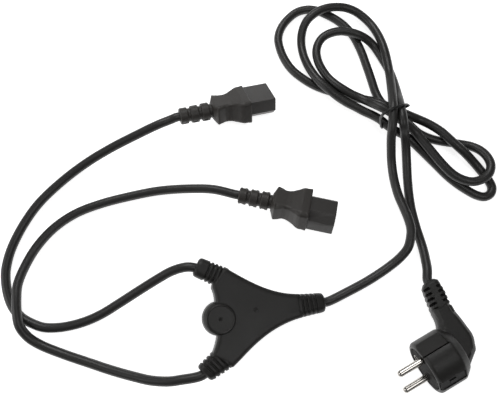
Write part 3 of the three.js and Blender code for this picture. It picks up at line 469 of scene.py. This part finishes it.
# The slots leave a web at mid-height and a keel along the middle
SLOT = 0.8
WEB = 2.0
KEEL = 2.5
for side, first, pitch in ((1, -42.3, 3.5), (-1, -44, 3.65)):
    for i in range(5):
        middle = first + pitch * i
        centre = np.interp(middle, [-46.4, -29], [37.0, 33.6])
        lean = 0.12 * (np.abs(sleeve[..., 1] - centre) - 4) * side
        inside = window(sleeve[..., 0] - lean, middle - SLOT, middle + SLOT, 0.25)
        inside = inside * step((side * (sleeve[..., 1] - centre) - KEEL) / 0.3)
        sleeve[..., 2] += (np.clip(sleeve[..., 2], -WEB, WEB) - sleeve[..., 2]) * inside
sleeve = np.stack([-sleeve[..., 1], sleeve[..., 0], sleeve[..., 2]], -1)
skin("plug_sleeve", sleeve, "moulded_black", "plug", caps="last")

PIN = 2.4
PIN_LENGTH = 19
PIN_OFFSET = 9.5
tip = np.linspace(0, np.pi / 2 - 0.05, 10)
pin_tip = np.stack([PIN_LENGTH - PIN + PIN * np.sin(tip), PIN * np.cos(tip)], 1)
pin_rows = np.vstack([[(-9, PIN), (0, PIN), (8, PIN)], pin_tip])
pin = turned(pin_rows, sides=40)
pin_line = np.radians(56.0)
for node, side in (("plug_pin_line", PIN_OFFSET), ("plug_pin_neutral", -PIN_OFFSET)):
    offset = np.array([0, -side * np.cos(pin_line), side * np.sin(pin_line)])
    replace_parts(skin(node + "_turned", pin + offset, "nickel", "plug", caps="first last"), node)

# Junction: the boss stands at the origin, the supply leg runs along +X
plate_points = np.vstack(
    [
        bezier((58.3, 8.3), (40.3, 10.3), (27.5, 18.8), (12.5, 30.1)),
        [(8.6, 33.2), (5.5, 33.8), (-2.6, 24)],
        bezier((-3.6, 21.4), (-1.7, 16), (-2.6, 9), count=10),
        bezier((-3.2, -9), (-5.2, -18), (-9.8, -24.6), count=10),
        [(-10.2, -25.6), (3.561, -34.751)],
        bezier((10.561, -29.751), (26.3, -17.3), (40.3, -10.3), (58.3, -8.3)),
    ]
)
plate_outline = flow(plate_points, spacing=0.5, soft=0.6, closed=True)
plate_spine = np.stack([np.clip(plate_outline[:, 0], 1.5, 55), 0.5 * plate_outline[:, 1]], 1)
PLATE_HALF = 7.5
PLATE_EDGE = 3.0
junction_plate = plate(plate_outline, PLATE_HALF, quarter(PLATE_EDGE), plate_spine)
junction_plate = skin("junction_plate", junction_plate, "moulded_black", "junction", caps="first last")
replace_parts(junction_plate, "junction_body")


# The cap's half width, and how deep the grooves are at the sides and on the faces
CAP = 7.1
RIB_SIDE = 0.9
RIB_TOP = 1.2


def leg(width, first, pitch, drift):
    """One ribbed leg that ends at x = 0: the bore's mouth, the cap, four round grooves and the root."""
    rows = [(-4, BORE, BORE, 3.6), (0, BORE, BORE, 3.6)]
    rows += [(0, 5.4, 4.8, 4.2), (-1, 6.7, 5.9, 5), (-2.6, CAP, 6.3, 5)]
    for i in range(4):
        share = (i + 1) / 4
        w, h = CAP + share * (width - CAP), 6.5 + share * 0.8
        x = -first - pitch * i
        rows += [(x + 0.7, w, h, 5), (x + 0.45, w - RIB_SIDE, h - RIB_TOP, 3.8)]
        rows += [(x - 0.45, w - RIB_SIDE, h - RIB_TOP, 3.8), (x - 0.7, w, h, 5)]
    rows.append((-22, width, 7.3, 5))
    rows = [(x, w, h, r, -drift * x) for x, w, h, r in rows]
    return loft(flow(rows, spacing=0.12, soft=0.22), side=5)


for name, x, y, heading, *size in (
    ("junction_leg_supply", 76, 0, 0, 8.3, 7.05, 3.3, 0),
    ("junction_leg_upper", -12.5, 37.7, 149, 7.6, 8.9, 3.0, 0),
    ("junction_leg_lower", -16.2, -36.1, -142.7, 8.4, 4.7, 3.35, 0.13),
):
    c, s = np.cos(np.radians(heading)), np.sin(np.radians(heading))
    grid = leg(*size)
    ahead = x + grid[..., 0] * c - grid[..., 1] * s
    aside = y + grid[..., 0] * s + grid[..., 1] * c
    grid = np.stack([ahead, aside, grid[..., 2]], -1)
    skin(name, grid, "moulded_black", "junction", caps="last")

BOSS_TOP = 8.7
boss_rows = flow(
    [
        (0, 12.1), (5.4, 11.7), (7.8, 10.6), (BOSS_TOP, 9.6), (BOSS_TOP, 9.3), (8.3, 9), (8.3, 1.2),
        (7.2, 1.0), (7.2, 0.05),
    ],
    spacing=0.12,
    soft=0.2,
)
for name, sign in (("junction_boss_top", 1), ("junction_boss_bottom", -1)):
    grid = turned(boss_rows, sides=96)
    lean = (grid[..., 0] / BOSS_TOP) ** 2
    ahead = grid[..., 1] - 1.0 + 0.3 * lean
    aside = grid[..., 2] - 0.4 - 1.1 * lean
    grid = np.stack([ahead, aside, sign * grid[..., 0]], -1)
    skin(name, grid, "moulded_black", "junction")
mark_rows = flow([(7.4, 1.9), (7.62, 1.8), (7.62, 1.4), (7.5, 1.2), (7.5, 0.05)], spacing=0.05, soft=0.06)
mark = turned(mark_rows, sides=40)
mark = np.stack([mark[..., 1] + 24.5, mark[..., 2] + 1.7, mark[..., 0]], -1)
skin("junction_mark", mark, "moulded_black", "junction")

# Connectors: the nose stands along +X from the flange at x = 0
GRIP = [
    (-28.5, 6.5, 6.2, 5.6), (-27.6, 7.4, 7, 4.2), (-25.9, 10.8, 7.7, 2.4), (-25, 11.2, 7.7, 2),
    (-22, 10.15, 7.7, 2), (-19.5, 8.8, 7.7, 2), (-17, 8.6, 7.7, 2), (-14, 9.4, 7.9, 2), (-10.5, 11.4, 8.5, 2),
    (-8.2, 13.1, 9, 2.2), (-6, 14, 9.5, 2.4), (-0.3, 14, 9.5, 2.4), (0, 13.6, 9.1, 2.2), (0, 4, 4, 2),
]
grip = loft(flow([(*row, 0) for row in GRIP], spacing=0.3, soft=0.4), side=31)
edge_at = np.interp(grip[..., 0], [-26, -19, -9, 0], [7.4, 7.6, 10.5, 12.6])
beyond = step((np.abs(grip[..., 1]) - edge_at) / 0.5)
face = step((np.abs(grip[..., 2]) - 6.2) / 0.8) * window(grip[..., 0], -25, -1.5, 1.5)
grip[..., 2] -= np.sign(grip[..., 2]) * 0.5 * beyond * face

RELIEF_END = -53.5
RELIEF_PITCH = 25 / 3
relief_rows = [(RELIEF_END + 4, BORE), (RELIEF_END, BORE)]
for i in range(3):
    radius = 6.3 + 0.3 * i
    start = RELIEF_END + i * RELIEF_PITCH
    stop = start + RELIEF_PITCH - 2.2
    neck = 5.1 + 0.1 * i
    relief_rows += [(start, radius - 0.7), (start + 0.7, radius), (stop - 0.4, radius), (stop, radius - 0.4)]
    relief_rows += [(stop + 0.1, neck), (stop + 2.1, neck)]
relief_rows += [(-28.5, 6.4), (-26.5, 6.4)]
relief = turned(flow(relief_rows, spacing=0.13, soft=0.22), sides=96)
tilt = np.radians(35.0)
across = relief[..., 1] * np.cos(tilt) + relief[..., 2] * np.sin(tilt)
upward = relief[..., 2] * np.cos(tilt) - relief[..., 1] * np.sin(tilt)
for i in range(3):
    start = RELIEF_END + i * RELIEF_PITCH + 1.6
    inside = window(relief[..., 0], start, start + 2.2, 0.3) * window(upward, -2.4, 2.4, 0.4)
    across += (np.clip(across, -5.4, 5.4) - across) * inside
relief = np.stack(
    [
        relief[..., 0],
        across * np.cos(tilt) - upward * np.sin(tilt),
        across * np.sin(tilt) + upward * np.cos(tilt),
    ],
    -1,
)
for place in ("connector_a", "connector_b"):
    shell = skin(place + "_grip", grip, "moulded_charcoal", place, caps="first last")
    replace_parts(shell, place + "_body")
    skin(place + "_relief", relief, "moulded_charcoal", place)

# CAD nodes that are shown as they are, with eased edges
SHOWN = {
    "plug_face_insert": "insert_black",
    "plug_earth_strip_upper": "nickel",
    "plug_earth_strip_lower": "nickel",
    "plug_earth_socket": "nickel",
    "junction_splice_line": "brass",
    "junction_splice_earth": "brass",
    "junction_splice_neutral": "brass",
}
for place in ("connector_a", "connector_b"):
    SHOWN[place + "_insert"] = "insert_black"
    for core in ("line", "neutral", "earth"):
        SHOWN[place + "_contact_" + core] = "brass"
for node, slot in SHOWN.items():
    obj = finished(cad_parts[node], slot)
    weld = obj.modifiers.new("weld", "WELD")
    weld.merge_threshold = 1e-6
    bevel = obj.modifiers.new("bevel", "BEVEL")
    bevel.width = 0.00035 if node.endswith("insert") else 0.0001
    bevel.segments = 3
    bevel.limit_method = "ANGLE"
    bevel.angle_limit = np.radians(30)
    bevel.harden_normals = False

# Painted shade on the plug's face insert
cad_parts["plug_face_insert"].data.materials[0] = PAINTED_SHADE_FACE
# Painted shade: the earth strips turn near-black in place of nickel
for node in ("plug_earth_strip_upper", "plug_earth_strip_lower"):
    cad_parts[node].data.materials[0] = PAINTED_SHADE_STRIP

# Floor and light
bpy.ops.mesh.primitive_plane_add(size=6, location=(0, 0, -0.0001))
floor = bpy.context.object
floor.name = "floor"
floor.data.materials.append(shader("floor_white", (0.93, 0.93, 0.93), 0.9, specular=0.1, glow=0.8))

world = bpy.data.worlds.new("world")
bpy.context.scene.world = world
world.use_nodes = True
world.node_tree.nodes["Background"].inputs["Color"].default_value = (1, 1, 1, 1)
world.node_tree.nodes["Background"].inputs["Strength"].default_value = 0.14


def softbox(name, location, aim_at, size, power):
    """A square lamp that looks at a point."""
    data = bpy.data.lights.new(name, "AREA")
    data.shape = "SQUARE"
    data.size = size
    data.energy = power
    lamp = bpy.data.objects.new(name, data)
    bpy.context.scene.collection.objects.link(lamp)
    lamp.location = location
    lamp.rotation_euler = (Vector(aim_at) - lamp.location).to_track_quat("-Z", "Y").to_euler()


softbox("key", (-0.22, 0.72, 0.82), (-0.03, 0.02, 0), 0.5, 4.4)
softbox("side", (-0.95, -0.12, 0.5), (0, 0, 0), 0.6, 2.8)
softbox("top", (0.3, -0.25, 1.25), (-0.05, -0.06, 0), 0.5, 2.4)
bpy.context.scene.view_settings.view_transform = "Standard"
